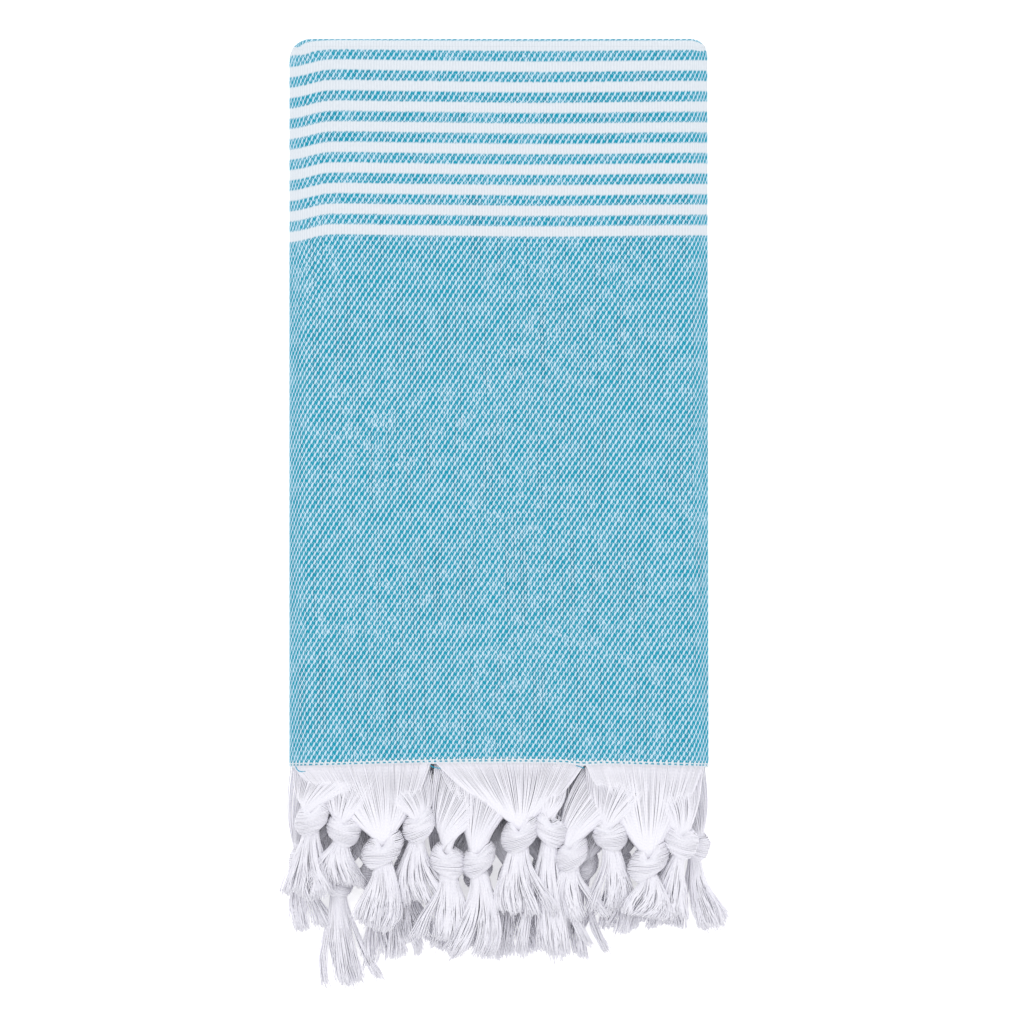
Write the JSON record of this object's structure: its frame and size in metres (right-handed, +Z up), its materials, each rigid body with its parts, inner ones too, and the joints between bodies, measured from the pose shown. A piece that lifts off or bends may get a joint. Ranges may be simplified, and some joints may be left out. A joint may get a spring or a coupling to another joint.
{
  "type": "folded fringed towel",
  "caption": "Flat-woven turquoise towel with white stripes, folded into a flat oblong, with knotted white fringe at both ends.",
  "frame": {"origin": "middle of the underside of the back leaf, on the surface that the towel lies on", "axes": "+Z up through the pile, +Y towards the top folds and away from the fringe, +X across the folded width"},
  "size_m": [0.2629, 0.5704, 0.0267],
  "materials": {
    "striped_weave": "turquoise and white cotton twill with a band of white stripes",
    "turquoise_weave": "turquoise and white cotton twill",
    "white_hem": "white cotton picks with a dashed turquoise last pick",
    "white_yarn": "soft white twisted cotton yarn"
  },
  "bodies": {
    "leaf_back": {"leaf_back": "striped_weave", "hem_back": "white_hem"},
    "leaf_third": {"leaf_third": "turquoise_weave"},
    "leaf_second": {"leaf_second": "turquoise_weave"},
    "leaf_front": {"leaf_front": "striped_weave", "hem_front": "white_hem"},
    "bundle_front_01": {"fringe_front_01": "white_yarn", "tassel_front_01": "white_yarn"},
    "bundle_front_02": {"fringe_front_02": "white_yarn", "tassel_front_02": "white_yarn"},
    "bundle_front_03": {"fringe_front_03": "white_yarn", "tassel_front_03": "white_yarn"},
    "bundle_front_04": {"fringe_front_04": "white_yarn", "tassel_front_04": "white_yarn"},
    "bundle_front_05": {"fringe_front_05": "white_yarn", "tassel_front_05": "white_yarn"},
    "bundle_front_06": {"fringe_front_06": "white_yarn", "tassel_front_06": "white_yarn"},
    "bundle_front_07": {"fringe_front_07": "white_yarn", "tassel_front_07": "white_yarn"},
    "bundle_front_08": {"fringe_front_08": "white_yarn", "tassel_front_08": "white_yarn"},
    "bundle_front_09": {"fringe_front_09": "white_yarn", "tassel_front_09": "white_yarn"},
    "bundle_front_10": {"fringe_front_10": "white_yarn", "tassel_front_10": "white_yarn"},
    "bundle_front_11": {"fringe_front_11": "white_yarn", "tassel_front_11": "white_yarn"},
    "bundle_front_12": {"fringe_front_12": "white_yarn", "tassel_front_12": "white_yarn"},
    "bundle_back_01": {"fringe_back_01": "white_yarn", "tassel_back_01": "white_yarn"},
    "bundle_back_02": {"fringe_back_02": "white_yarn", "tassel_back_02": "white_yarn"},
    "bundle_back_03": {"fringe_back_03": "white_yarn", "tassel_back_03": "white_yarn"},
    "bundle_back_04": {"fringe_back_04": "white_yarn", "tassel_back_04": "white_yarn"},
    "bundle_back_05": {"fringe_back_05": "white_yarn", "tassel_back_05": "white_yarn"},
    "bundle_back_06": {"fringe_back_06": "white_yarn", "tassel_back_06": "white_yarn"},
    "bundle_back_07": {"fringe_back_07": "white_yarn", "tassel_back_07": "white_yarn"},
    "bundle_back_08": {"fringe_back_08": "white_yarn", "tassel_back_08": "white_yarn"},
    "bundle_back_09": {"fringe_back_09": "white_yarn", "tassel_back_09": "white_yarn"},
    "bundle_back_10": {"fringe_back_10": "white_yarn", "tassel_back_10": "white_yarn"},
    "bundle_back_11": {"fringe_back_11": "white_yarn", "tassel_back_11": "white_yarn"},
    "bundle_back_12": {"fringe_back_12": "white_yarn", "tassel_back_12": "white_yarn"}
  },
  "joints": [
    {"name": "unfold_back_top", "type": "hinge", "parent": "leaf_back", "child": "leaf_third", "pos_m": [0, 0.218, 0.00505], "axis": [-1, 0, 0], "range_deg": [0, 180]},
    {"name": "unfold_bottom", "type": "hinge", "parent": "leaf_third", "child": "leaf_second", "pos_m": [0, -0.209, 0.01025], "axis": [1, 0, 0], "range_deg": [0, 180]},
    {"name": "unfold_front_top", "type": "hinge", "parent": "leaf_second", "child": "leaf_front", "pos_m": [0, 0.218, 0.01545], "axis": [-1, 0, 0], "range_deg": [0, 180]},
    {"name": "lift_front_01", "type": "hinge", "parent": "leaf_front", "child": "bundle_front_01", "pos_m": [-0.08333, -0.218, 0.0205], "axis": [-1, 0, 0], "range_deg": [0, 80]},
    {"name": "lift_front_02", "type": "hinge", "parent": "leaf_front", "child": "bundle_front_02", "pos_m": [-0.08333, -0.218, 0.0205], "axis": [-1, 0, 0], "range_deg": [0, 80]},
    {"name": "lift_front_03", "type": "hinge", "parent": "leaf_front", "child": "bundle_front_03", "pos_m": [-0.08333, -0.218, 0.0205], "axis": [-1, 0, 0], "range_deg": [0, 80]},
    {"name": "lift_front_04", "type": "hinge", "parent": "leaf_front", "child": "bundle_front_04", "pos_m": [-0.08333, -0.218, 0.0205], "axis": [-1, 0, 0], "range_deg": [0, 80]},
    {"name": "lift_front_05", "type": "hinge", "parent": "leaf_front", "child": "bundle_front_05", "pos_m": [0, -0.218, 0.0205], "axis": [-1, 0, 0], "range_deg": [0, 80]},
    {"name": "lift_front_06", "type": "hinge", "parent": "leaf_front", "child": "bundle_front_06", "pos_m": [0, -0.218, 0.0205], "axis": [-1, 0, 0], "range_deg": [0, 80]},
    {"name": "lift_front_07", "type": "hinge", "parent": "leaf_front", "child": "bundle_front_07", "pos_m": [0, -0.218, 0.0205], "axis": [-1, 0, 0], "range_deg": [0, 80]},
    {"name": "lift_front_08", "type": "hinge", "parent": "leaf_front", "child": "bundle_front_08", "pos_m": [0, -0.218, 0.0205], "axis": [-1, 0, 0], "range_deg": [0, 80]},
    {"name": "lift_front_09", "type": "hinge", "parent": "leaf_front", "child": "bundle_front_09", "pos_m": [0.08333, -0.218, 0.0205], "axis": [-1, 0, 0], "range_deg": [0, 80]},
    {"name": "lift_front_10", "type": "hinge", "parent": "leaf_front", "child": "bundle_front_10", "pos_m": [0.08333, -0.218, 0.0205], "axis": [-1, 0, 0], "range_deg": [0, 80]},
    {"name": "lift_front_11", "type": "hinge", "parent": "leaf_front", "child": "bundle_front_11", "pos_m": [0.08333, -0.218, 0.0205], "axis": [-1, 0, 0], "range_deg": [0, 80]},
    {"name": "lift_front_12", "type": "hinge", "parent": "leaf_front", "child": "bundle_front_12", "pos_m": [0.08333, -0.218, 0.0205], "axis": [-1, 0, 0], "range_deg": [0, 80]},
    {"name": "droop_back_01", "type": "hinge", "parent": "leaf_back", "child": "bundle_back_01", "pos_m": [-0.08333, -0.218, 0], "axis": [-1, 0, 0], "range_deg": [-80, 0]},
    {"name": "droop_back_02", "type": "hinge", "parent": "leaf_back", "child": "bundle_back_02", "pos_m": [-0.08333, -0.218, 0], "axis": [-1, 0, 0], "range_deg": [-80, 0]},
    {"name": "droop_back_03", "type": "hinge", "parent": "leaf_back", "child": "bundle_back_03", "pos_m": [-0.08333, -0.218, 0], "axis": [-1, 0, 0], "range_deg": [-80, 0]},
    {"name": "droop_back_04", "type": "hinge", "parent": "leaf_back", "child": "bundle_back_04", "pos_m": [-0.08333, -0.218, 0], "axis": [-1, 0, 0], "range_deg": [-80, 0]},
    {"name": "droop_back_05", "type": "hinge", "parent": "leaf_back", "child": "bundle_back_05", "pos_m": [0, -0.218, 0], "axis": [-1, 0, 0], "range_deg": [-80, 0]},
    {"name": "droop_back_06", "type": "hinge", "parent": "leaf_back", "child": "bundle_back_06", "pos_m": [0, -0.218, 0], "axis": [-1, 0, 0], "range_deg": [-80, 0]},
    {"name": "droop_back_07", "type": "hinge", "parent": "leaf_back", "child": "bundle_back_07", "pos_m": [0, -0.218, 0], "axis": [-1, 0, 0], "range_deg": [-80, 0]},
    {"name": "droop_back_08", "type": "hinge", "parent": "leaf_back", "child": "bundle_back_08", "pos_m": [0, -0.218, 0], "axis": [-1, 0, 0], "range_deg": [-80, 0]},
    {"name": "droop_back_09", "type": "hinge", "parent": "leaf_back", "child": "bundle_back_09", "pos_m": [0.08333, -0.218, 0], "axis": [-1, 0, 0], "range_deg": [-80, 0]},
    {"name": "droop_back_10", "type": "hinge", "parent": "leaf_back", "child": "bundle_back_10", "pos_m": [0.08333, -0.218, 0], "axis": [-1, 0, 0], "range_deg": [-80, 0]},
    {"name": "droop_back_11", "type": "hinge", "parent": "leaf_back", "child": "bundle_back_11", "pos_m": [0.08333, -0.218, 0], "axis": [-1, 0, 0], "range_deg": [-80, 0]},
    {"name": "droop_back_12", "type": "hinge", "parent": "leaf_back", "child": "bundle_back_12", "pos_m": [0.08333, -0.218, 0], "axis": [-1, 0, 0], "range_deg": [-80, 0]}
  ],
  "couplings": [
    {"joint": "lift_front_01", "follows": "lift_front_03", "ratio": 1},
    {"joint": "lift_front_02", "follows": "lift_front_03", "ratio": 1},
    {"joint": "lift_front_04", "follows": "lift_front_03", "ratio": 1},
    {"joint": "lift_front_05", "follows": "lift_front_07", "ratio": 1},
    {"joint": "lift_front_06", "follows": "lift_front_07", "ratio": 1},
    {"joint": "lift_front_08", "follows": "lift_front_07", "ratio": 1},
    {"joint": "lift_front_09", "follows": "lift_front_11", "ratio": 1},
    {"joint": "lift_front_10", "follows": "lift_front_11", "ratio": 1},
    {"joint": "lift_front_12", "follows": "lift_front_11", "ratio": 1},
    {"joint": "droop_back_02", "follows": "droop_back_01", "ratio": 1},
    {"joint": "droop_back_03", "follows": "droop_back_01", "ratio": 1},
    {"joint": "droop_back_04", "follows": "droop_back_01", "ratio": 1},
    {"joint": "droop_back_06", "follows": "droop_back_05", "ratio": 1},
    {"joint": "droop_back_07", "follows": "droop_back_05", "ratio": 1},
    {"joint": "droop_back_08", "follows": "droop_back_05", "ratio": 1},
    {"joint": "droop_back_09", "follows": "droop_back_12", "ratio": 1},
    {"joint": "droop_back_10", "follows": "droop_back_12", "ratio": 1},
    {"joint": "droop_back_11", "follows": "droop_back_12", "ratio": 1},
    {"joint": "unfold_bottom", "follows": "unfold_back_top", "ratio": 1},
    {"joint": "unfold_front_top", "follows": "unfold_back_top", "ratio": 1}
  ]
}
